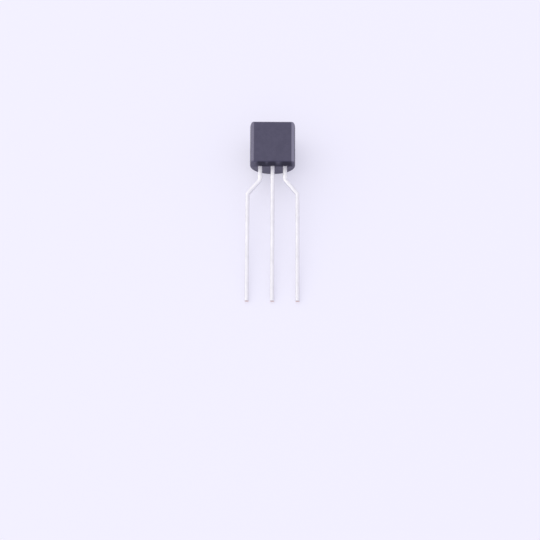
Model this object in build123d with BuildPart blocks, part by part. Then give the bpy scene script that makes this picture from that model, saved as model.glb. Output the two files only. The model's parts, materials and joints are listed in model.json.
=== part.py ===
from build123d import *
from math import asin, atan2, cos, degrees, hypot, radians, sin, tan
import os

# A three-lead shunt voltage regulator in a moulded package with a round back and one flat face.
# It lies on its round back and its lead tips, flat face up, with the leads towards -Y.
# Lengths are in millimetres.

# Moulded body
body_radius = 2.3
body_height = 4.55
flat_distance = 1.3
front_side_radius = 4.9
flat_corner_radius = 0.3
end_draft = 2.5
body_edge_radius = 0.16
ejector_mark_radius = 0.5
ejector_mark_depth = 0.09
ejector_mark_height = 2.9

# Leads, stamped from one sheet and bent in its plane
lead_width = 0.42
lead_thickness = 0.38
lead_length = 14.5
lead_edge_radius = 0.06
lead_pitch = 1.27
formed_pitch = 2.54
first_bend = 1.45
second_bend = 3.0
bend_radius = 0.4

# Stubs on each side of a lead where the bar that joined the leads was cut away
tie_bar_stub = 0.035
tie_bar_width = 0.4
tie_bar_distance = 1.1

# Inner ends of the leads: a paddle on the middle one and a bond post on each outer one
paddle_top_cover = 0.85
paddle_margin = 0.415
paddle_gap = 0.2
post_base = 0.85
post_top_cover = 1.55
post_side_cover = 0.5

# Chip and the layer under it
die_size = 0.95
die_thickness = 0.25
attach_thickness = 0.04
attach_margin = 0.06

# Bond wires, with a ball on the chip
wire_diameter = 0.032
wire_loop_height = 0.2
wire_shoulder = 0.08
ball_diameter = 0.08
ball_height = 0.025
reference_pad_shares = (-0.3, 0.25)
cathode_pad_shares = (0.3, -0.1)
anode_pad_shares = (0.05, 0.4)
post_bond_share = 0.7


# The round on the edge of the back, at either end: how far its centre is from that end of the body.
draft_angle = radians(end_draft)
edge_depth = body_radius - body_edge_radius
edge_inset = (body_edge_radius + edge_depth * sin(draft_angle)) / cos(draft_angle)

# The part tips until its back's lower edge and its lead tips both touch the floor.
rest_reach = lead_length - lead_edge_radius + edge_inset
rest_drop = edge_depth - lead_thickness / 2 + lead_edge_radius
rest_tilt = atan2(rest_drop, rest_reach) + asin(
    (body_edge_radius - lead_edge_radius) / hypot(rest_reach, rest_drop)
)

# The body's top and the lead tips are equally far from the origin, which is on the floor.
top_reach = (
    (body_height - edge_inset) * cos(rest_tilt) + edge_depth * sin(rest_tilt) + body_edge_radius
)
tip_reach = (
    (lead_length - lead_edge_radius) * cos(rest_tilt)
    + (lead_thickness / 2 - lead_edge_radius) * sin(rest_tilt)
    + lead_edge_radius
)
seat_height = edge_depth * cos(rest_tilt) - edge_inset * sin(rest_tilt) + body_edge_radius

# The lead plane holds the leads and the mould's parting line. Its X runs across the leads,
# its Y runs up the body from the end where the leads come out, and its Z points to the flat face.
lead_plane = Plane(
    origin=(0, (tip_reach - top_reach) / 2, seat_height),
    x_dir=(1, 0, 0),
    z_dir=(0, -sin(rest_tilt), cos(rest_tilt)),
)
section_plane = Plane(
    origin=lead_plane.from_local_coords((0, body_height, 0)),
    x_dir=lead_plane.x_dir,
    z_dir=-lead_plane.y_dir,
)
side_plane = Plane(origin=lead_plane.origin, x_dir=lead_plane.y_dir, z_dir=lead_plane.x_dir)
back_plane = Plane(
    origin=lead_plane.from_local_coords((0, ejector_mark_height, -body_radius)),
    x_dir=lead_plane.x_dir,
    z_dir=lead_plane.z_dir,
)
lead_face = lead_plane.offset(lead_thickness / 2)
attach_face = lead_face.offset(attach_thickness)
die_face = attach_face.offset(die_thickness)

# A post's inner edge is in line with its lead. The paddle fills the space between the posts, and
# has a margin above and below the chip.
post_inner = lead_pitch - lead_width / 2
post_outer = body_radius - post_side_cover
post_middle = (post_inner + post_outer) / 2
post_top = body_height - post_top_cover
paddle_width = 2 * (post_inner - paddle_gap)
paddle_top = body_height - paddle_top_cover
attach_size = die_size + 2 * attach_margin
die_centre = paddle_top - paddle_margin - attach_size / 2
paddle_base = die_centre - attach_size / 2 - paddle_margin


def round_edges(lead):
    """Round the edges of both sheet faces of a lead."""
    sheet_faces = lead.faces().filter_by(lead_plane).sort_by(Axis(lead_plane.origin, lead_plane.z_dir))
    fillet(sheet_faces[0].edges() + sheet_faces[-1].edges(), lead_edge_radius)


# Leads, each a bar with rounded edges that runs into its paddle or post
with BuildPart() as anode_lead:
    with BuildSketch(lead_plane):
        with BuildLine():
            Line((0, paddle_base + lead_width), (0, -lead_length))
        trace(line_width=lead_width)
        with Locations((0, -tie_bar_distance)):
            Rectangle(lead_width + 2 * tie_bar_stub, tie_bar_width)
    extrude(amount=lead_thickness / 2, both=True)
    round_edges(anode_lead)
    with BuildSketch(lead_plane):
        with Locations((0, die_centre)):
            Rectangle(paddle_width, paddle_top - paddle_base)
    extrude(amount=lead_thickness / 2, both=True)
anode_lead.part.label = "anode_lead"

outer_leads = {}
for lead_name, side in (("reference_lead", -1), ("cathode_lead", 1)):
    with BuildPart() as outer_lead:
        with BuildSketch(lead_plane):
            with BuildLine():
                FilletPolyline(
                    (side * lead_pitch, post_base + lead_width),
                    (side * lead_pitch, -first_bend),
                    (side * formed_pitch, -second_bend),
                    (side * formed_pitch, -lead_length),
                    radius=bend_radius,
                )
            trace(line_width=lead_width)
            with Locations((side * lead_pitch, -tie_bar_distance)):
                Rectangle(lead_width + 2 * tie_bar_stub, tie_bar_width)
        extrude(amount=lead_thickness / 2, both=True)
        round_edges(outer_lead)
        with BuildSketch(lead_plane):
            with Locations((side * post_middle, (post_base + post_top) / 2)):
                Rectangle(post_outer - post_inner, post_top - post_base)
        extrude(amount=lead_thickness / 2, both=True)
    outer_lead.part.label = lead_name
    outer_leads[lead_name] = outer_lead.part

# Chip on the paddle
with BuildPart() as die_attach:
    with BuildSketch(lead_face):
        with Locations((0, die_centre)):
            Rectangle(attach_size, attach_size)
    extrude(amount=attach_thickness)
die_attach.part.label = "die_attach"

with BuildPart() as die:
    with BuildSketch(attach_face):
        with Locations((0, die_centre)):
            Rectangle(die_size, die_size)
    extrude(amount=die_thickness)
die.part.label = "die"

# Bond wires, each up from a pad on the chip, over a shoulder and down to a lead
die_top = lead_thickness / 2 + attach_thickness + die_thickness
loop_top = die_top + wire_loop_height
post_bond = post_base + (post_top - post_base) * post_bond_share
paddle_bond = paddle_top - paddle_margin / 2
bond_wires = {}
for wire_name, pad_shares, lead_bond in (
    ("reference_wire", reference_pad_shares, (-post_middle, post_bond)),
    ("cathode_wire", cathode_pad_shares, (post_middle, post_bond)),
    ("anode_wire", anode_pad_shares, (0, paddle_bond)),
):
    pad = Vector(pad_shares[0] * die_size, die_centre + pad_shares[1] * die_size)
    shoulder = pad + (Vector(lead_bond) - pad).normalized() * wire_shoulder
    with BuildPart() as bond_wire:
        with BuildLine(lead_plane) as loop:
            Polyline(
                (pad.X, pad.Y, die_top),
                (pad.X, pad.Y, loop_top - wire_shoulder),
                (shoulder.X, shoulder.Y, loop_top),
                (*lead_bond, lead_thickness / 2 - wire_diameter),
            )
        with BuildSketch(Plane(origin=loop.line @ 0, z_dir=loop.line % 0)):
            Circle(wire_diameter / 2)
        sweep(path=loop.line, transition=Transition.RIGHT)
        split(bisect_by=lead_face, keep=Keep.TOP)
        with BuildSketch(die_face):
            with Locations((pad.X, pad.Y)):
                Circle(ball_diameter / 2)
        extrude(amount=ball_height)
    bond_wire.part.label = wire_name
    bond_wires[wire_name] = bond_wire.part


def end_rim(end_faces):
    """The edges round one end of the body, without the parting line that crosses that end."""
    front, back = end_faces
    return front.edges() + back.edges() - (front.edges() & back.edges())


# The moulding: its back is half round, its front sides curve in a little to the rounded corners of
# the flat face, and its ends are drafted both ways from the parting line.
inserts = [anode_lead.part, die_attach.part, die.part, *outer_leads.values(), *bond_wires.values()]
body_axis = Axis(lead_plane.origin, lead_plane.y_dir)
side_arc = degrees(asin(flat_distance / front_side_radius))
front_inset = flat_distance * tan(draft_angle)
back_inset = body_radius * tan(draft_angle)
with BuildPart() as moulded_body:
    with BuildSketch(section_plane) as section:
        with BuildLine():
            ThreePointArc((-body_radius, 0), (0, -body_radius), (body_radius, 0))
            right_side = JernArc((body_radius, 0), (0, 1), front_side_radius, side_arc)
            left_side = JernArc((-body_radius, 0), (0, 1), front_side_radius, -side_arc)
            Line(right_side @ 1, left_side @ 1)
        make_face()
        fillet(section.vertices().sort_by(Axis.Y)[-2:], flat_corner_radius)
    extrude(amount=body_height)
    with BuildSketch(side_plane):
        with BuildLine():
            Polyline(
                (0, 0),
                (front_inset, flat_distance),
                (body_height - front_inset, flat_distance),
                (body_height, 0),
                (body_height - back_inset, -body_radius),
                (back_inset, -body_radius),
                close=True,
            )
        make_face()
    extrude(amount=body_radius, both=True, mode=Mode.INTERSECT)
    ends = moulded_body.faces().filter_by(GeomType.PLANE).sort_by(body_axis)
    fillet(end_rim(ends[:2]) + end_rim(ends[-2:]), body_edge_radius)
    with BuildSketch(back_plane):
        Circle(ejector_mark_radius)
    extrude(amount=ejector_mark_depth, mode=Mode.SUBTRACT)
    for insert in inserts:
        add(insert, mode=Mode.SUBTRACT)
moulded_body.part.label = "moulded_body"

os.makedirs("parts", exist_ok=True)
for piece in [moulded_body.part, *inserts]:
    export_step(piece, f"parts/{piece.label}.step")
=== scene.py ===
import json
from math import asin, cos, exp, hypot, pi, radians, sin, sqrt, tan

import bmesh
import bpy
from mathutils import Matrix, Vector, noise


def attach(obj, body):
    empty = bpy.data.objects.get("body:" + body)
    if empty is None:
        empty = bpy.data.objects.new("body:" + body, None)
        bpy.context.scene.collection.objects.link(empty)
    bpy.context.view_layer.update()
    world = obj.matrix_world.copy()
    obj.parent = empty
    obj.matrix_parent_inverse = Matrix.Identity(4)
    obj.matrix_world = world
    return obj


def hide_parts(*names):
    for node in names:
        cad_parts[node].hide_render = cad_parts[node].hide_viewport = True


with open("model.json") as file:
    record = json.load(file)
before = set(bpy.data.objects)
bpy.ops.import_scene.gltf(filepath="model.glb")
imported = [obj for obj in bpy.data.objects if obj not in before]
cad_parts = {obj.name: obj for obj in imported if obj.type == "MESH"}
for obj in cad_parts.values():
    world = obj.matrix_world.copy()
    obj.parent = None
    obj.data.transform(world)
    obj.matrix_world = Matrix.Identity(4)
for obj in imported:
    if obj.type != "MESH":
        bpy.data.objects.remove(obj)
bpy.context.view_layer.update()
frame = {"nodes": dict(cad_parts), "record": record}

# A three-lead shunt voltage regulator in a moulded package with a round back and one flat face.
# Shapes are worked out in the lead plane, in millimetres. The scene is in metres.
MM = 0.001

# Moulded body
BODY_RADIUS = 2.3
BODY_HEIGHT = 4.55
FLAT_DISTANCE = 1.3
FRONT_SIDE_RADIUS = 4.9
FLAT_CORNER_RADIUS = 0.3
END_DRAFT = radians(2.5)
BODY_EDGE_RADIUS = 0.16

# Mark of the ejector pin in the back, and the pin that cuts it
EJECTOR_MARK_RADIUS = 0.5
EJECTOR_MARK_DEPTH = 0.09
EJECTOR_MARK_HEIGHT = 2.9
EJECTOR_EDGE_RADIUS = 0.02
EJECTOR_EDGE_CUT = 0.006
EJECTOR_OVERRUN = 0.2

# Leads
LEAD_WIDTH = 0.42
LEAD_THICKNESS = 0.38
LEAD_LENGTH = 14.5
LEAD_EDGE_RADIUS = 0.06
LEAD_PITCH = 1.27
FORMED_PITCH = 2.54
FIRST_BEND = 1.45
SECOND_BEND = 3.0
BEND_RADIUS = 0.4

# Stubs of the cut tie bar, which start and end at these distances from the body
TIE_BAR_STUB = 0.035
TIE_BAR_WIDTH = 0.4
TIE_BAR_DISTANCE = 1.1
STUB_START = TIE_BAR_DISTANCE - TIE_BAR_WIDTH / 2
STUB_END = TIE_BAR_DISTANCE + TIE_BAR_WIDTH / 2

# Inner ends of the leads
PADDLE_HALF_WIDTH = 0.86
PADDLE_TOP = 3.7
PADDLE_BASE = 1.8
POST_OUTER = 1.8
POST_TOP = 3.0
POST_BASE = 0.85
INNER_EDGE_RADIUS = 0.004

# Fine relief of the moulding, and its play round the inner pieces
FLASH_HEIGHT = 0.016
FLASH_WIDTH = 0.018
FLASH_NOISE_LENGTH = 0.3
FLASH_EVEN_SHARE = 0.6
BODY_WAVE = 0.006
BODY_WAVE_LENGTH = 1.1
BODY_WAVE_SHIFT = Vector((7, 3, 5))
INSERT_PLAY = 0.002

# Fine relief of the tin, whose waves differ from lead to lead
TIN_CROWN_SHARE = 0.14
TIN_WAVE = 0.004
TIN_WAVE_LENGTH = 0.6
TIN_WAVE_SHIFT = 5

# Paler edges of the moulding, as shares of full paleness: a painted highlight on the corners beside
# the flat and on the top rim, and wear on the parting line. A corner's highlight rises to its most
# early in the turn, and the parting line is worn over a width.
LEFT_CORNER_HIGHLIGHT_SHARE = 0.9
RIGHT_CORNER_HIGHLIGHT_SHARE = 1.7
CORNER_HIGHLIGHT_RISE = 2.5
RIM_HIGHLIGHT_SHARE = 0.4
LINE_WEAR_SHARE = 0.5
LINE_WEAR_WIDTH = 0.03

# Painted shade, dark on the front half of the end where the leads come out. A patch has its middle
# and its reach across the leads, and its core and edge are shares of that reach.
PAINTED_SHADE_START = 0.03
PAINTED_SHADE_FULL = 0.15
PAINTED_SHADE_LEFT = -1.75
PAINTED_SHADE_RIGHT = 2.1
PAINTED_SHADE_SIDE_FADE = 0.25
PAINTED_SHADE_PATCHES = ((-1.15, 0.66), (-0.1, 0.62), (1.4, 0.85))
PAINTED_SHADE_PATCH_HEIGHT = 2.0
PAINTED_SHADE_PATCH_CORE_SHARE = 0.6
PAINTED_SHADE_PATCH_EDGE_SHARE = 1.2
PAINTED_SHADE_BETWEEN_SHARE = 0.95
PAINTED_SHADE_TURN_POWER = 3

# Steps of the body's mesh: round its section, up its side, round its edges, over its ends and
# round the ejector mark. They are close together near the parting line, where the flash stands.
FLAT_STEPS = 26
CORNER_STEPS = 12
FRONT_SIDE_STEPS = 20
BACK_STEPS = 72
PARTING_LINE_DISTANCES = (0, 0.008, 0.016, 0.026, 0.04, 0.06, 0.09)
SIDE_STEPS = 44
SIDE_END_SHARES = (0.008, 0.025)
EDGE_STEPS = 8
END_RING_SHARES = (0.03, 0.1, 0.22, 0.36, 0.5, 0.64, 0.78, 0.9, 0.97)
EJECTOR_STEPS = 96

# Steps of a lead's mesh: round its section, down its length, round its bends and at its tip
LEAD_CORNER_STEPS = 4
LEAD_FACE_STEPS = 8
LEAD_SIDE_STEPS = 4
LEAD_STEP = 0.12
BREAK_GAP = 0.004
BEND_STEPS = 12
TIP_SHARES = (1, 0.7, 0.4, 0.2, 0.06)

# What counts as the same place: in millimetres or as a share, and for merged vertices in metres
SAME_PLACE = 1e-6
MERGE_DISTANCE = 1e-8
HOLLOW_MERGE_DISTANCE = 2e-7

# Angle between two faces from which their edge is a crease
SHARP_ANGLE = radians(40)

# Colours, two where a grain goes from one to the other
EPOXY_TONES = ((0.049, 0.0442, 0.0865), (0.0615, 0.0552, 0.103))
FILLER_SPECK = (0.13, 0.125, 0.16)
# Paler edges: wear on the parting line, and a painted highlight on the corners and top rim
EPOXY_WEAR_AND_SHEEN = (0.215, 0.203, 0.272)
# Painted shade round the leads
PAINTED_SHADE_COLOUR = (0.012, 0.01, 0.028)
TIN_TONES = ((0.745, 0.74, 0.765), (0.825, 0.82, 0.845))
# Painted light on the tin next to the body
PAINTED_LIGHT_TIN = (0.94, 0.935, 0.95)
COPPER_TONES = ((0.62, 0.33, 0.2), (0.8, 0.47, 0.32))
DRAGGED_TIN = (0.8, 0.795, 0.8)
SILICON_TONES = ((0.16, 0.17, 0.2), (0.24, 0.25, 0.29))
SILVER_EPOXY_TONES = ((0.5, 0.5, 0.48), (0.68, 0.68, 0.66))
GOLD_TONES = ((0.86, 0.62, 0.26), (0.95, 0.73, 0.36))

# Floor, with its reach and where it turns into backdrop in metres from its middle
FLOOR_COLOUR = (0.896, 0.88, 0.988)
FLOOR_REACH = 2
BACKDROP_SHARE = 0.5
BACKDROP_START = 0.08
BACKDROP_FULL = 0.4

# Light: pale surroundings, and a soft box above on the left, in metres and watts
SURROUNDINGS_COLOUR = (0.96, 0.953, 1.085)
SURROUNDINGS_LEVEL = 0.85
SOFT_BOX_PLACE = Vector((-0.42, 0.12, 0.52))
SOFT_BOX_SIDE = 1.0
SOFT_BOX_POWER = 1.85
SOFT_BOX_COLOUR = (1.0, 0.985, 0.8)

# Camera, in the place of the photograph's. Its focal length and the image's side are in pixels.
CAMERA_AIM = Vector((-0.218, -5.917, 0)) * MM
CAMERA_DISTANCE = 215.13 * MM
CAMERA_ELEVATION = radians(61.93)
CAMERA_AZIMUTH = radians(-0.11)
CAMERA_ROLL = radians(0.36)
FOCAL_LENGTH = 2137
IMAGE_SIDE = 540
SENSOR_WIDTH = 36
CLIP_START = 0.01

# The lead plane of the part: X across the leads, Y up the body, Z to the flat face
flat_mount = next(m for m in frame["record"]["mounts"] if m["name"] == "front_flat")
across = Vector((1, 0, 0))
normal = Vector(flat_mount["axis"])
along = normal.cross(across)
flat_middle = FLAT_DISTANCE * normal + BODY_HEIGHT / 2 * along
LEAD_PLANE = (
    Matrix.Translation(Vector(flat_mount["pos_m"]) - MM * flat_middle)
    @ Matrix((across, along, normal)).transposed().to_4x4()
    @ Matrix.Scale(MM, 4)
)


def add_node(tree, kind, inputs=None, **settings):
    """A shader node with its settings, and its inputs linked or set."""
    node = tree.nodes.new(kind)
    for key, value in settings.items():
        setattr(node, key, value)
    for key, value in (inputs or {}).items():
        if isinstance(value, bpy.types.NodeSocket):
            tree.links.new(value, node.inputs[key])
        else:
            node.inputs[key].default_value = value
    return node


def new_material(name, **values):
    """A material with its tree and its shader, whose even values are set on the shader itself."""
    material = bpy.data.materials.new(name)
    material.use_nodes = True
    tree = material.node_tree
    shader = tree.nodes["Principled BSDF"]
    for key, value in values.items():
        shader.inputs[key.replace("_", " ")].default_value = value
    return material, tree, shader


def link_surface(tree, shader, colour, rough, relief):
    """Link what varies over a surface to its shader."""
    for key, socket in {"Base Color": colour, "Roughness": rough, "Normal": relief}.items():
        tree.links.new(socket, shader.inputs[key])


def combine(tree, operation, first, second):
    """A sum, product or maximum of two values."""
    return add_node(tree, "ShaderNodeMath", {0: first, 1: second}, operation=operation).outputs[0]


def grain(tree, vector, size, detail=3.0, stretch=None):
    """Noise whose cells are about one size across, in the units of the vector."""
    if stretch:
        vector = add_node(
            tree, "ShaderNodeVectorMath", {0: vector, 1: stretch}, operation="MULTIPLY"
        ).outputs[0]
    inputs = {"Vector": vector, "Scale": 1 / size, "Detail": detail, "Roughness": 0.55}
    return add_node(tree, "ShaderNodeTexNoise", inputs).outputs["Fac"]


def ramp(tree, factor, low, high, start=0.3, end=0.7):
    """A colour that goes from low to high as the factor goes from start to end."""
    node = add_node(tree, "ShaderNodeValToRGB", {"Fac": factor})
    for stop, place, colour in zip(node.color_ramp.elements, (start, end), (low, high)):
        stop.position = place
        stop.color = (*colour, 1)
    return node.outputs["Color"]


def spread(tree, factor, low, high, start=0.3, end=0.7):
    """A value that goes from low to high as the factor goes from start to end."""
    inputs = {"Value": factor, "From Min": start, "From Max": end, "To Min": low, "To Max": high}
    return add_node(tree, "ShaderNodeMapRange", inputs).outputs["Result"]


def blend(tree, factor, first, second):
    """First colour where the factor is 0, second where it is 1."""
    node = add_node(tree, "ShaderNodeMix", data_type="RGBA")
    sockets = {"Factor_Float": factor, "A_Color": first, "B_Color": second}
    for identifier, value in sockets.items():
        socket = next(s for s in node.inputs if s.identifier == identifier)
        if isinstance(value, bpy.types.NodeSocket):
            tree.links.new(value, socket)
        else:
            socket.default_value = (*value, 1)
    return next(s for s in node.outputs if s.identifier == "Result_Color")


def bump(tree, height, depth, strength, under=None):
    """A normal with relief of the given depth in metres, on top of another normal."""
    inputs = {"Height": height, "Distance": depth, "Strength": strength}
    if under:
        inputs["Normal"] = under
    return add_node(tree, "ShaderNodeBump", inputs).outputs["Normal"]


def object_place(tree):
    """Where a point of the surface is, in metres."""
    return add_node(tree, "ShaderNodeTexCoord").outputs["Object"]


def attribute(tree, name, output):
    """What the mesh says of a point of the surface."""
    return add_node(tree, "ShaderNodeAttribute", attribute_name=name).outputs[output]


def seen_rays(tree):
    """1 for rays that look at a surface or mirror it, 0 for rays that light other surfaces."""
    rays = add_node(tree, "ShaderNodeLightPath").outputs
    seen = rays["Is Camera Ray"]
    for kind in ("Is Glossy Ray", "Is Transmission Ray"):
        seen = combine(tree, "MAXIMUM", seen, rays[kind])
    return seen


def mix_output(tree, output, share, first, second):
    """Link an output to the first shader where the share is 0, and to the second where it is 1."""
    inputs = {0: share, 1: first.outputs[0], 2: second.outputs[0]}
    mixed = add_node(tree, "ShaderNodeMixShader", inputs)
    tree.links.new(mixed.outputs[0], tree.nodes[output].inputs["Surface"])


def epoxy_material():
    """Black moulding compound: spark-eroded grain, fine filler specks, edges paler from a painted
    highlight on the corners and top rim and from wear on the parting line, and painted shade round
    the leads."""
    material, tree, shader = new_material("black_epoxy", Specular_IOR_Level=0.5)
    place = object_place(tree)
    colour = ramp(tree, grain(tree, place, size=0.5 * MM, detail=4), *EPOXY_TONES)

    specks = grain(tree, place, size=0.035 * MM, detail=1)
    specks = spread(tree, specks, low=0.0, high=0.35, start=0.62, end=0.78)
    colour = blend(tree, specks, colour, FILLER_SPECK)

    # Paler edges: wear on the parting line, and a painted highlight on the corners and top rim
    pale_grain = grain(tree, place, size=0.12 * MM, detail=4)
    pale_grain = spread(tree, pale_grain, low=0.58, high=0.84, start=0.35, end=0.7)
    pale_edge = combine(tree, "MULTIPLY", attribute(tree, "wear_and_sheen", "Fac"), pale_grain)
    colour = blend(tree, pale_edge, colour, EPOXY_WEAR_AND_SHEEN)

    mottled = spread(tree, grain(tree, place, size=0.15 * MM, detail=4), low=0.88, high=1.0)
    # Painted shade: darker round the leads where they come out of the moulding
    painted_shade = combine(tree, "MULTIPLY", attribute(tree, "painted_shade", "Fac"), mottled)
    colour = blend(tree, painted_shade, colour, PAINTED_SHADE_COLOUR)

    rough = spread(tree, grain(tree, place, size=0.15 * MM, detail=3), low=0.38, high=0.5)
    rough = spread(tree, painted_shade, low=rough, high=0.9, start=0.0, end=1.0)

    coarse = grain(tree, place, size=0.16 * MM, detail=2)
    coarse = bump(tree, coarse, depth=0.012 * MM, strength=0.5)
    fine = grain(tree, place, size=0.05 * MM, detail=2)
    fine = bump(tree, fine, depth=0.008 * MM, strength=0.8, under=coarse)
    link_surface(tree, shader, colour, rough, fine)
    return material


def tin_material():
    """Tin plate: streaks along the lead, dull patches, and speckled brighter next to the body,
    which is painted light where the body shades the tin. Its places and distances are those of the
    straight lead, in millimetres."""
    material, tree, shader = new_material("tinned_lead", Metallic=1.0)
    place = attribute(tree, "straight", "Vector")
    distance = add_node(tree, "ShaderNodeSeparateXYZ", {0: place}).outputs["Y"]
    patches = grain(tree, place, size=0.35, detail=4, stretch=(1, 0.5, 1))
    streaks = grain(tree, place, size=0.05, detail=3, stretch=(1, 0.07, 1))

    # Painted light: paler tin next to the body, where the body shades it
    near = spread(tree, distance, low=1.0, high=0.0, start=0.1, end=3.8)
    ragged = grain(tree, place, size=0.13, detail=4)
    ragged = spread(tree, ragged, low=0.2, high=1.0, start=0.32, end=0.5)
    lit_near_body = combine(tree, "MULTIPLY", near, ragged)
    colour = blend(tree, lit_near_body, ramp(tree, patches, *TIN_TONES), PAINTED_LIGHT_TIN)

    rough = spread(tree, streaks, low=0.45, high=0.6)
    rough = spread(tree, distance, low=0.9, high=rough, start=0.1, end=0.55)

    rolled = bump(tree, streaks, depth=0.004 * MM, strength=0.5)
    plated = grain(tree, place, size=0.045, detail=2)
    plated = bump(tree, plated, depth=0.004 * MM, strength=0.5, under=rolled)
    link_surface(tree, shader, colour, rough, plated)
    return material


def cut_copper_material():
    """A lead's sheared end: bare copper, scored across, with tin dragged over its upper side."""
    material, tree, shader = new_material("cut_copper", Metallic=1.0)
    place = attribute(tree, "straight", "Vector")
    height = add_node(tree, "ShaderNodeSeparateXYZ", {0: place}).outputs["Z"]
    score = grain(tree, place, size=0.03, detail=3, stretch=(1, 1, 0.12))
    edge = combine(tree, "ADD", height, spread(tree, score, low=-0.04, high=0.04))
    dragged = spread(tree, edge, low=0.0, high=1.0, start=0.03, end=0.08)
    colour = blend(tree, dragged, ramp(tree, score, *COPPER_TONES), DRAGGED_TIN)
    rough = spread(tree, score, low=0.3, high=0.5)
    scored = bump(tree, score, depth=0.008 * MM, strength=0.6)
    link_surface(tree, shader, colour, rough, scored)
    return material


def speckled_material(name, tones, size, roughness, relief, **values):
    """A plain inner material: two tones of grain, with roughness and relief from the same grain."""
    material, tree, shader = new_material(name, **values)
    cells = grain(tree, object_place(tree), size=size * MM)
    colour = ramp(tree, cells, *tones)
    rough = spread(tree, cells, *roughness)
    raised = bump(tree, cells, depth=relief * MM, strength=0.5)
    link_surface(tree, shader, colour, rough, raised)
    return material


def floor_material():
    """Pale floor, which the camera and reflections see partly as an even backdrop, and far off
    wholly so."""
    material, tree, shader = new_material(
        "pale_floor", Base_Color=(*FLOOR_COLOUR, 1), Roughness=0.9, Specular_IOR_Level=0.0
    )
    backdrop = add_node(tree, "ShaderNodeEmission", {"Color": (*FLOOR_COLOUR, 1), "Strength": 1.0})
    away = add_node(tree, "ShaderNodeVectorMath", {0: object_place(tree)}, operation="LENGTH")
    share = spread(
        tree,
        away.outputs["Value"],
        low=BACKDROP_SHARE,
        high=1.0,
        start=BACKDROP_START,
        end=BACKDROP_FULL,
    )
    share = combine(tree, "MULTIPLY", seen_rays(tree), share)
    mix_output(tree, "Material Output", share, shader, backdrop)
    return material


def add_object(name, data):
    """A new object in the scene."""
    added = bpy.data.objects.new(name, data)
    bpy.context.scene.collection.objects.link(added)
    return added


def lead_plane_mesh(name, vertices, faces):
    """A mesh from vertices in the lead plane."""
    mesh = bpy.data.meshes.new(name)
    mesh.from_pydata([LEAD_PLANE @ Vector(v) for v in vertices], [], faces)
    return mesh


def new_piece(name, vertices, faces, materials):
    """An object from vertices in the lead plane, which rides on the part's only body."""
    mesh = lead_plane_mesh(name, vertices, faces)
    for material in materials:
        mesh.materials.append(material)
    piece = add_object(name, mesh)
    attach(piece, "root")
    return piece


def shade(mesh):
    """Smooth shading, with creases where faces meet at a sharp angle."""
    mesh.polygons.foreach_set("use_smooth", [True] * len(mesh.polygons))
    mesh.set_sharp_from_angle(angle=SHARP_ANGLE)


def merge_close(mesh, distance):
    """Merge vertices that are within the distance, in metres, and split many-sided faces."""
    merged = bmesh.new()
    merged.from_mesh(mesh)
    bmesh.ops.remove_doubles(merged, verts=merged.verts, dist=distance)
    bmesh.ops.dissolve_degenerate(merged, edges=merged.edges, dist=distance)
    many_sided = [face for face in merged.faces if len(face.verts) > 4]
    bmesh.ops.triangulate(merged, faces=many_sided, ngon_method="BEAUTY")
    bmesh.ops.recalc_face_normals(merged, faces=merged.faces)
    merged.to_mesh(mesh)
    merged.free()


def evenly(start, end, count):
    """Values from start to end, in as many even steps as the count."""
    return [start + (end - start) * i / count for i in range(count + 1)]


def share_between(value, start, end):
    """0 up to the start, 1 from the end on, and in proportion between them."""
    return min(1, max(0, (value - start) / (end - start)))


def band_faces(rings, count):
    """Faces between rings that follow each other, each with the same count of vertices."""
    faces = []
    for i in range(rings - 1):
        for j in range(count):
            k = (j + 1) % count
            faces.append((i * count + j, i * count + k, (i + 1) * count + k, (i + 1) * count + j))
    return faces


def closed_faces(rings, count):
    """The faces between such rings, with one face over the first ring and one over the last."""
    last = (rings - 1) * count
    first_end = tuple(reversed(range(count)))
    last_end = tuple(range(last, last + count))
    return [first_end, *band_faces(rings, count), last_end]


def arc_place(middle, radius, angle, turn=0):
    """A place of the body's section that is on an arc."""
    direction = (cos(angle), sin(angle))
    core = radius - BODY_EDGE_RADIUS
    point = (middle[0] + core * direction[0], middle[1] + core * direction[1])
    return point, direction, turn


def body_section():
    """Places round the body's section, from the middle of the flat: each is a point of the core, to
    which the edge's radius is added, the outward direction, and how far round a corner it is."""
    side_middle = BODY_RADIUS - FRONT_SIDE_RADIUS
    corner_z = FLAT_DISTANCE - FLAT_CORNER_RADIUS
    corner_x = side_middle + sqrt((FRONT_SIDE_RADIUS - FLAT_CORNER_RADIUS) ** 2 - corner_z**2)
    side_turn = asin(corner_z / (FRONT_SIDE_RADIUS - FLAT_CORNER_RADIUS))

    flat_z = FLAT_DISTANCE - BODY_EDGE_RADIUS
    places = [((x, flat_z), (0, 1), 0) for x in evenly(0, corner_x, FLAT_STEPS)[:-1]]
    for share in evenly(0, 1, CORNER_STEPS):
        angle = pi / 2 + (side_turn - pi / 2) * share
        places.append(arc_place((corner_x, corner_z), FLAT_CORNER_RADIUS, angle, share))
    front = [z / FRONT_SIDE_RADIUS for z in PARTING_LINE_DISTANCES]
    angles = evenly(side_turn, front[-1], FRONT_SIDE_STEPS)[1:] + front[-2::-1]
    places += [arc_place((side_middle, 0), FRONT_SIDE_RADIUS, angle) for angle in angles]
    back = [-z / BODY_RADIUS for z in PARTING_LINE_DISTANCES]
    angles = back[1:] + evenly(back[-1], -pi / 2, BACK_STEPS)[1:]
    places += [arc_place((0, 0), BODY_RADIUS, angle) for angle in angles]
    mirrored = [((-x, z), (-right, up), turn) for (x, z), (right, up), turn in places[-2:0:-1]]
    return places + mirrored


def mould_half(z):
    """1 on the front half of the mould, -1 on the back half, 0 on the line between them."""
    return (z > SAME_PLACE) - (z < -SAME_PLACE)


def end_height(end):
    """Height of an end of the body: -1 is the end where the leads come out, 1 is the top."""
    return 0 if end < 0 else BODY_HEIGHT


def edge_inset(z):
    """How far the middle of the rounded edge is from the end of the body."""
    return BODY_EDGE_RADIUS / cos(END_DRAFT) + abs(z) * tan(END_DRAFT)


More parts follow.
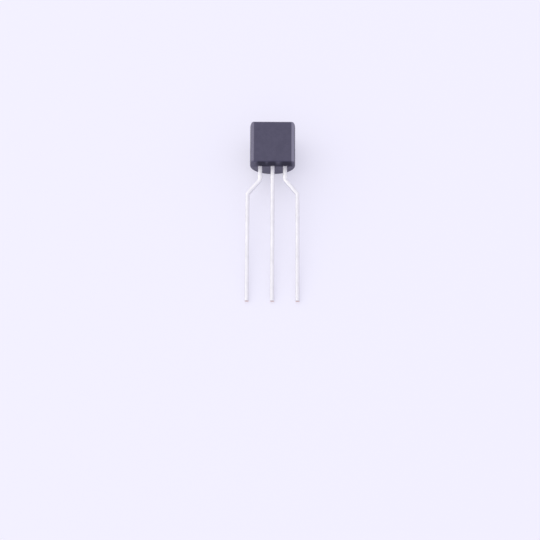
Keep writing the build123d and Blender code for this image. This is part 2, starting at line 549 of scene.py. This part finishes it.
def corner_highlight(x, turn):
    """Painted highlight on a corner beside the flat, which is the most in the middle of its turn.
    """
    most = LEFT_CORNER_HIGHLIGHT_SHARE if x < 0 else RIGHT_CORNER_HIGHLIGHT_SHARE
    return most * min(1, CORNER_HIGHLIGHT_RISE * sin(pi * turn))


def end_point(place, end, share):
    """A point on an end face, whose outline is drawn in to the share, with the outward direction
    there and how pale it is from wear and painted highlight."""
    x, core_z = place[0]
    z = core_z + BODY_EDGE_RADIUS * sin(END_DRAFT) * mould_half(core_z)
    inset = abs(z) * tan(END_DRAFT)
    return (share * x, end_height(end) - end * share * inset, share * z), (0, end, 0), 0


def edge_point(place, end, share):
    """The same on the rounded edge of an end, from the side at 0 to the end face at 1."""
    (x, z), direction, turn = place
    face = Vector((0, end * cos(END_DRAFT), sin(END_DRAFT) * mould_half(z))).normalized()
    out = Vector((direction[0], 0, direction[1])).slerp(face, share)
    point = Vector((x, end_height(end) - end * edge_inset(z), z)) + BODY_EDGE_RADIUS * out
    # Painted highlight on the rim of the top end
    pale_edge = RIM_HIGHLIGHT_SHARE * sin(pi * share) if end > 0 else 0
    return tuple(point), tuple(out), max(pale_edge, corner_highlight(x, turn) * (1 - share))


def side_point(place, share):
    """The same on the side, from the end where the leads come out at 0 to the top at 1."""
    core, direction, turn = place
    inset = edge_inset(core[1])
    x = core[0] + BODY_EDGE_RADIUS * direction[0]
    y = inset + (BODY_HEIGHT - 2 * inset) * share
    z = core[1] + BODY_EDGE_RADIUS * direction[1]
    return (x, y, z), (direction[0], 0, direction[1]), corner_highlight(x, turn)


def body_rows(places):
    """Rows of such points, from the end where the leads come out to the top."""
    edge_shares = evenly(0, 1, EDGE_STEPS)
    outer, inner = SIDE_END_SHARES
    side_shares = (outer, *evenly(inner, 1 - inner, SIDE_STEPS), 1 - outer)
    rows = [[end_point(place, -1, share) for place in places] for share in END_RING_SHARES]
    rows += [[edge_point(place, -1, share) for place in places] for share in edge_shares[::-1]]
    rows += [[side_point(place, share) for place in places] for share in side_shares]
    rows += [[edge_point(place, 1, share) for place in places] for share in edge_shares]
    rows += [[end_point(place, 1, share) for place in places] for share in END_RING_SHARES[::-1]]
    return rows


def body_relief(point):
    """Height of the moulding's relief: the flash on the parting line, less a slight waviness."""
    place = Vector(point)
    varied = (1 - FLASH_EVEN_SHARE) * noise.noise(place / FLASH_NOISE_LENGTH)
    ragged = FLASH_EVEN_SHARE + varied
    flash = FLASH_HEIGHT * ragged * exp(-((point[2] / FLASH_WIDTH) ** 2))
    wave = noise.noise(place / BODY_WAVE_LENGTH + BODY_WAVE_SHIFT)
    return flash - BODY_WAVE * (0.5 + 0.5 * wave)


def painted_shade_share(x, z):
    """How much painted shade is on the end that the leads come out of: all in a patch round each
    lead, and between the patches the less, the further up from the leads."""
    front = share_between(z, PAINTED_SHADE_START, PAINTED_SHADE_FULL)
    sides = share_between(min(x - PAINTED_SHADE_LEFT, PAINTED_SHADE_RIGHT - x), 0, PAINTED_SHADE_SIDE_FADE)
    out = min(hypot((x - middle) / reach, z / PAINTED_SHADE_PATCH_HEIGHT) for middle, reach in PAINTED_SHADE_PATCHES)
    fade = share_between(out, PAINTED_SHADE_PATCH_CORE_SHARE, PAINTED_SHADE_PATCH_EDGE_SHARE)
    in_patch = 0.5 + 0.5 * cos(pi * fade)
    between = PAINTED_SHADE_BETWEEN_SHARE * (1 - z / FLAT_DISTANCE)
    return front * sides * max(in_patch, between)


def body_mesh():
    """Vertices and faces of the moulding's closed outside, and what its material reads there."""
    places = body_section()
    rows = body_rows(places)
    vertices = []
    wear_and_sheen = []
    painted_shade = []
    for row in rows:
        for point, out, pale_edge in row:
            height = body_relief(point)
            vertices.append(tuple(p + height * n for p, n in zip(point, out)))
            # Paler edges: wear on the parting line, with the painted highlight of the corners and
            # top rim
            on_line = LINE_WEAR_SHARE * exp(-((point[2] / LINE_WEAR_WIDTH) ** 2))
            wear_and_sheen.append(max(pale_edge, on_line))
            # Painted shade on the end where the leads come out, on faces that turn towards that end
            painted_shade.append(painted_shade_share(point[0], point[2]) * max(0, -out[1]) ** PAINTED_SHADE_TURN_POWER)
    count = len(places)
    faces = band_faces(len(rows), count)
    for end, first in ((-1, 0), (1, (len(rows) - 1) * count)):
        middle = end_height(end)
        vertices.append((0, middle + end * body_relief((0, middle, 0)), 0))
        wear_and_sheen.append(LINE_WEAR_SHARE)
        painted_shade.append(0)
        for j in range(count):
            edge = (first + j, first + (j + 1) % count)
            faces.append((*edge[::end], len(vertices) - 1))
    return vertices, faces, {"wear_and_sheen": wear_and_sheen, "painted_shade": painted_shade}


def lead_size(distance, to_tip, inner):
    """Reaches to the left and right, half thickness, edge radius and crown of a lead's section."""
    base, inner_left, inner_right = inner
    into_round = LEAD_EDGE_RADIUS - min(to_tip, LEAD_EDGE_RADIUS)
    half = LEAD_THICKNESS / 2 - (LEAD_EDGE_RADIUS - sqrt(LEAD_EDGE_RADIUS**2 - into_round**2))
    if -distance > base:
        return inner_left, inner_right, half, INNER_EDGE_RADIUS, 0
    reach = LEAD_WIDTH / 2
    if STUB_START < distance < STUB_END:
        reach += TIE_BAR_STUB
    return reach, reach, half, LEAD_EDGE_RADIUS, TIN_CROWN_SHARE


def lead_section(left, right, half, radius, crown):
    """Points round a lead's section as (across, up), the faces domed by the crown's share over the
    lead's own width, which a stub stands out from."""
    middle = (right - left) / 2
    reach = (right + left) / 2
    points = []
    for i, (x, z) in enumerate(((1, 1), (-1, 1), (-1, -1), (1, -1))):
        centre = (x * (reach - radius), z * (half - radius))
        for turn in evenly(90 * i, 90 * i + 90, LEAD_CORNER_STEPS):
            angle = radians(turn)
            points.append((centre[0] + radius * cos(angle), centre[1] + radius * sin(angle)))
        last = points[-1]
        on_face = i % 2 == 0
        following = (-last[0], last[1]) if on_face else (last[0], -last[1])
        for share in evenly(0, 1, LEAD_FACE_STEPS if on_face else LEAD_SIDE_STEPS)[1:-1]:
            points.append(tuple(a + (b - a) * share for a, b in zip(last, following)))
    section = []
    for x, z in points:
        narrower = 1 - crown / 2 * (z / half) ** 2
        thinner = 1 - crown * min(1, (2 * x / LEAD_WIDTH) ** 2)
        section.append((middle + x * narrower, z * thinner))
    return section


def lead_run(start, end, breaks):
    """(point, direction) down a straight run of a lead, with a place at each of the breaks too."""
    direction = (end - start).normalized()
    shares = set(evenly(0, 1, max(2, round((end - start).length / LEAD_STEP))))
    shares |= {(start.y - y) / (start.y - end.y) for y in breaks}
    places = sorted(share for share in shares if 0 <= share <= 1)
    kept = [share for i, share in enumerate(places) if i == 0 or share - places[i - 1] > SAME_PLACE]
    return [(start.lerp(end, share), direction) for share in kept]


def lead_stations(corners, breaks):
    """(point, direction) down the middle of a lead, close together, its corners rounded by bends.
    The first run has a place at each of the breaks, which are heights in the lead plane."""
    stations = []
    start = corners[0]
    for before, corner, after in zip(corners, corners[1:], corners[2:]):
        direction = (corner - before).normalized()
        turned = (after - corner).normalized()
        angle = direction.angle_signed(turned)
        reach = BEND_RADIUS * tan(abs(angle) / 2)
        bend_start = corner - reach * direction
        stations += lead_run(start, bend_start, breaks)
        side = 1 if angle > 0 else -1
        hub = bend_start + BEND_RADIUS * side * Vector((direction.y, -direction.x))
        for share in evenly(0, 1, BEND_STEPS)[1:-1]:
            turn = Matrix.Rotation(-angle * share, 2)
            stations.append((hub + turn @ (bend_start - hub), turn @ direction))
        start = corner + reach * turned
        breaks = ()
    return stations + lead_run(start, corners[-1], breaks)


def lead_piece(name, corners, inner, materials):
    """A lead from its inner end to its tip. Inner gives the height where its paddle or post ends,
    and how far that reaches to the left and right of the lead's middle."""
    step_heights = (inner[0], -STUB_START, -STUB_END)
    breaks = [y + gap for y in step_heights for gap in (BREAK_GAP, -BREAK_GAP)]
    stations = lead_stations(corners, breaks)
    tip = corners[-1]
    tip_direction = stations[-1][1]
    for share in TIP_SHARES:
        stations.insert(-1, (tip - LEAD_EDGE_RADIUS * share * tip_direction, tip_direction))

    vertices = []
    straight = []
    distance = -corners[0].y
    last_point = corners[0]
    for point, direction in stations:
        distance += (point - last_point).length
        last_point = point
        left, right, half, radius, crown = lead_size(distance, (tip - point).length, inner)
        sideways = Vector((-direction.y, direction.x))
        for x, z in lead_section(left, right, half, radius, crown):
            place = Vector((x, distance, z)) / TIN_WAVE_LENGTH
            wave = noise.noise(place + Vector((TIN_WAVE_SHIFT * tip.x, 0, 0)))
            thin = 1 - TIN_WAVE / half * (0.5 + 0.5 * wave) if distance > 0 else 1
            moved = point + x * thin * sideways
            vertices.append((moved.x, moved.y, z * thin))
            straight.append((x, distance, z))

    faces = closed_faces(len(stations), len(vertices) // len(stations))
    piece = new_piece(name, vertices, faces, materials)
    mesh = piece.data
    places = mesh.attributes.new("straight", "FLOAT_VECTOR", "POINT")
    places.data.foreach_set("vector", [value for place in straight for value in place])
    mesh.polygons[-1].material_index = 1
    shade(mesh)
    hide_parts(name.removesuffix("_piece"))
    return piece


def ejector_cutter():
    """The end of the ejector pin, with a slightly rounded edge."""
    depth = -BODY_RADIUS + EJECTOR_MARK_DEPTH
    rings = (
        (EJECTOR_MARK_RADIUS, -BODY_RADIUS - EJECTOR_OVERRUN),
        (EJECTOR_MARK_RADIUS, depth - EJECTOR_EDGE_RADIUS),
        (EJECTOR_MARK_RADIUS - EJECTOR_EDGE_CUT, depth - EJECTOR_EDGE_CUT),
        (EJECTOR_MARK_RADIUS - EJECTOR_EDGE_RADIUS, depth),
    )
    angles = [2 * pi * j / EJECTOR_STEPS for j in range(EJECTOR_STEPS)]
    vertices = [
        (radius * cos(angle), EJECTOR_MARK_HEIGHT + radius * sin(angle), z)
        for radius, z in rings
        for angle in angles
    ]
    faces = closed_faces(len(rings), EJECTOR_STEPS)
    return add_object("ejector_pin", lead_plane_mesh("ejector_pin", vertices, faces))


def insert_cutter(node):
    """A copy of an inner piece, larger all round by a little play."""
    mesh = node.data.copy()
    grown = bmesh.new()
    grown.from_mesh(mesh)
    bmesh.ops.remove_doubles(grown, verts=grown.verts, dist=MERGE_DISTANCE)
    for vertex in grown.verts:
        vertex.co += INSERT_PLAY * MM * vertex.normal
    grown.to_mesh(mesh)
    grown.free()
    return add_object(node.name + "_cutter", mesh)


def cut_out(piece, cutters):
    """Cut the room for other objects out of a piece."""
    for cutter in cutters:
        cut = piece.modifiers.new(cutter.name, "BOOLEAN")
        cut.operation = "DIFFERENCE"
        cut.solver = "EXACT"
        cut.object = cutter
    depsgraph = bpy.context.evaluated_depsgraph_get()
    hollowed = bpy.data.meshes.new_from_object(piece.evaluated_get(depsgraph), depsgraph=depsgraph)
    piece.modifiers.clear()
    merge_close(hollowed, HOLLOW_MERGE_DISTANCE)
    piece.data = hollowed


def add_floor():
    """A flat floor under the part."""
    mesh = bpy.data.meshes.new("floor")
    signs = ((-1, -1), (1, -1), (1, 1), (-1, 1))
    mesh.from_pydata([(x * FLOOR_REACH, y * FLOOR_REACH, 0) for x, y in signs], [], [(0, 1, 2, 3)])
    mesh.materials.append(floor_material())
    floor = add_object("floor", mesh)


def add_surroundings():
    """Pale light from all round, where the camera and reflections see the even backdrop instead."""
    world = bpy.data.worlds.new("surroundings")
    bpy.context.scene.world = world
    world.use_nodes = True
    tree = world.node_tree
    pale = tree.nodes["Background"]
    pale.inputs["Color"].default_value = (*SURROUNDINGS_COLOUR, 1)
    pale.inputs["Strength"].default_value = SURROUNDINGS_LEVEL
    inputs = {"Color": (*FLOOR_COLOUR, 1), "Strength": 1.0}
    backdrop = add_node(tree, "ShaderNodeBackground", inputs)
    mix_output(tree, "World Output", seen_rays(tree), pale, backdrop)


def add_soft_box():
    """A large soft lamp, turned to the part."""
    lamp = bpy.data.lights.new("soft_box", "AREA")
    lamp.shape = "SQUARE"
    lamp.size = SOFT_BOX_SIDE
    lamp.energy = SOFT_BOX_POWER
    lamp.color = SOFT_BOX_COLOUR
    soft_box = add_object("soft_box", lamp)
    soft_box.location = SOFT_BOX_PLACE
    soft_box.rotation_euler = (-SOFT_BOX_PLACE).to_track_quat("-Z", "Y").to_euler()


def add_camera():
    """The camera, turned and raised about its aim and rolled a little."""
    forward = cos(CAMERA_ELEVATION)
    down = sin(CAMERA_ELEVATION)
    ahead = Vector((-sin(CAMERA_AZIMUTH) * forward, cos(CAMERA_AZIMUTH) * forward, -down))
    level = Vector((cos(CAMERA_AZIMUTH), sin(CAMERA_AZIMUTH), 0))
    upright = level.cross(ahead)
    right = cos(CAMERA_ROLL) * level + sin(CAMERA_ROLL) * upright
    up = cos(CAMERA_ROLL) * upright - sin(CAMERA_ROLL) * level
    turn = Matrix((right, up, -ahead)).transposed().to_4x4()
    camera_data = bpy.data.cameras.new("camera")
    camera_data.sensor_width = SENSOR_WIDTH
    camera_data.lens = SENSOR_WIDTH * FOCAL_LENGTH / IMAGE_SIDE
    camera_data.clip_start = CLIP_START
    camera = add_object("camera", camera_data)
    camera.matrix_world = Matrix.Translation(CAMERA_AIM - CAMERA_DISTANCE * ahead) @ turn
    bpy.context.scene.camera = camera


# Leads
lead_materials = [tin_material(), cut_copper_material()]
leads = [
    lead_piece(
        "anode_lead_piece",
        [Vector((0, PADDLE_TOP)), Vector((0, -LEAD_LENGTH))],
        (PADDLE_BASE, PADDLE_HALF_WIDTH, PADDLE_HALF_WIDTH),
        lead_materials,
    )
]
for name, side in (("reference_lead_piece", -1), ("cathode_lead_piece", 1)):
    outer_reach = POST_OUTER - LEAD_PITCH
    reaches = (outer_reach, LEAD_WIDTH / 2) if side < 0 else (LEAD_WIDTH / 2, outer_reach)
    corners = [
        Vector((side * LEAD_PITCH, POST_TOP)),
        Vector((side * LEAD_PITCH, -FIRST_BEND)),
        Vector((side * FORMED_PITCH, -SECOND_BEND)),
        Vector((side * FORMED_PITCH, -LEAD_LENGTH)),
    ]
    leads.append(lead_piece(name, corners, (POST_BASE, *reaches), lead_materials))

# Moulding, closed round the leads and the inner pieces
vertices, faces, marks = body_mesh()
body = new_piece("moulded_body_piece", vertices, faces, [epoxy_material()])
for name, values in marks.items():
    body.data.attributes.new(name, "FLOAT", "POINT").data.foreach_set("value", values)
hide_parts("moulded_body")
merge_close(body.data, MERGE_DISTANCE)
inner_nodes = ("die", "die_attach", "reference_wire", "anode_wire", "cathode_wire")
tools = [insert_cutter(frame["nodes"][name]) for name in inner_nodes] + [ejector_cutter()]
cut_out(body, leads + tools)
for tool in tools:
    bpy.data.objects.remove(tool)
shade(body.data)

# Inner pieces
silicon = speckled_material(
    "silicon", SILICON_TONES, size=0.05, roughness=(0.12, 0.2), relief=0.001, Metallic=0.6
)
silver_epoxy = speckled_material(
    "silver_epoxy", SILVER_EPOXY_TONES, size=0.02, roughness=(0.5, 0.65), relief=0.004, Metallic=0.8
)
gold = speckled_material(
    "gold_wire", GOLD_TONES, size=0.01, roughness=(0.2, 0.32), relief=0.001, Metallic=1.0
)
for name, material in zip(inner_nodes, (silicon, silver_epoxy, gold, gold, gold)):
    node = frame["nodes"][name]
    node.data.materials.clear()
    node.data.materials.append(material)

# Floor, light and camera
add_floor()
add_surroundings()
add_soft_box()
add_camera()
bpy.context.scene.view_settings.view_transform = "Standard"
